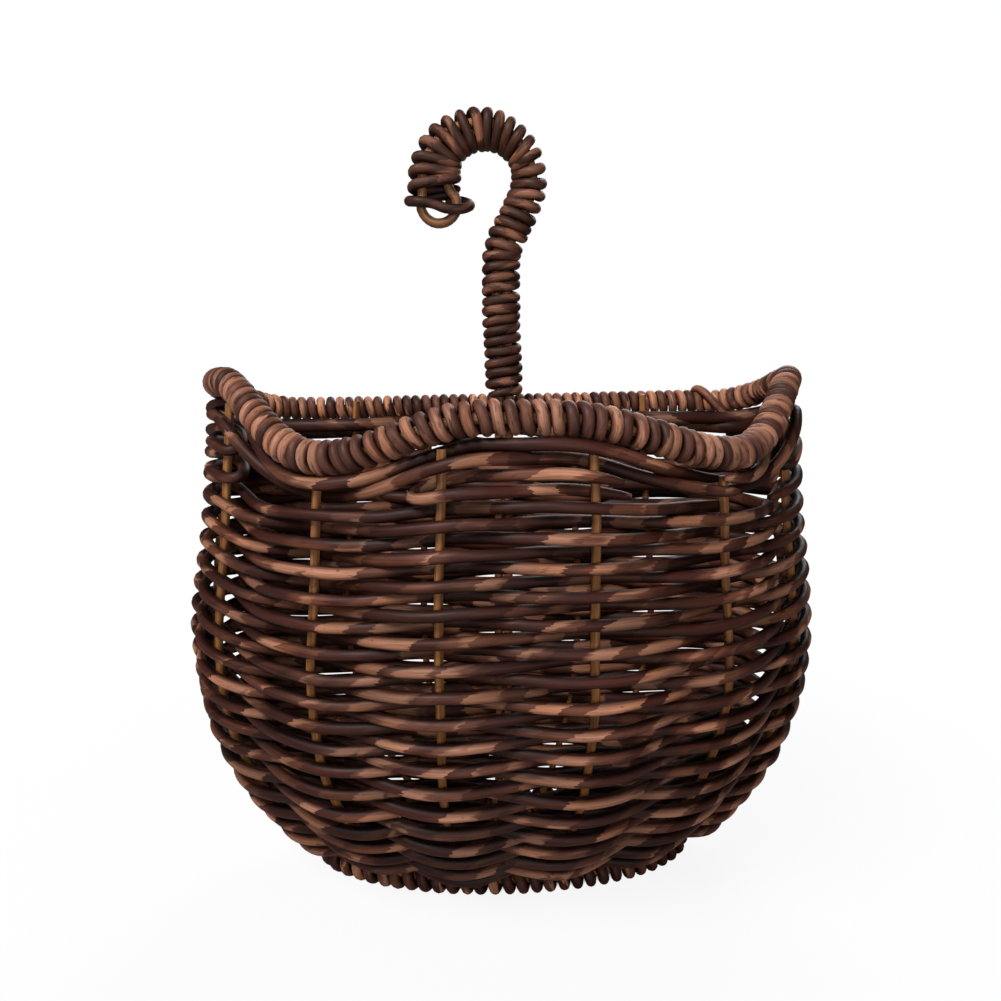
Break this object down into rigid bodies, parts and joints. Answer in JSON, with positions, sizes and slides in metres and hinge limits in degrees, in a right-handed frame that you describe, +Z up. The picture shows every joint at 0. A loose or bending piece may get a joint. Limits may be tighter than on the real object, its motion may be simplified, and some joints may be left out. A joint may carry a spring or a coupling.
{
  "type": "wall basket",
  "caption": "Half-round woven rattan wall basket with a flat back, a bulging front, a scalloped wrapped rim with raised ears and a wrapped cane hook for hanging.",
  "frame": {"origin": "centre of the bounding box, at its bottom", "axes": "+Z up, +Y towards the flat back, -Y towards the bulging front, +X to the viewer's right from the front"},
  "size_m": [0.2878, 0.1535, 0.359],
  "materials": {
    "weaver": "unpeeled rattan strand, satin, tan to dark brown",
    "stake": "peeled cane, satin, golden",
    "cane": "round cane, satin",
    "hook_wrap": "unpeeled rattan strand, satin, dark brown"
  },
  "bodies": {
    "root": {"base_core": "cane", "base_wrap": "weaver", "floor_stick_1": "stake", "floor_stick_2": "stake", "floor_stick_3": "stake", "floor_weaver": "weaver", "stake_01": "stake", "stake_02": "stake", "stake_03": "stake", "stake_04": "stake", "stake_05": "stake", "stake_06": "stake", "stake_07": "stake", "stake_08": "stake", "stake_09": "stake", "stake_10": "stake", "stake_11": "stake", "stake_12": "stake", "hook_cane": "cane", "weaver_01": "weaver", "weaver_02": "weaver", "weaver_03": "weaver", "weaver_04": "weaver", "weaver_05": "weaver", "weaver_06": "weaver", "weaver_07": "weaver", "weaver_08": "weaver", "closing_row_upper": "weaver", "closing_row_lower": "weaver", "fill_row_crest": "weaver", "fill_row_back": "weaver", "fill_row_ear_right": "weaver", "fill_row_ear_left": "weaver", "rim_core": "cane", "rim_wrap_left": "weaver", "rim_wrap_right": "weaver", "rim_wrap_back": "weaver", "hook_wrap": "hook_wrap"}
  },
  "joints": []
}
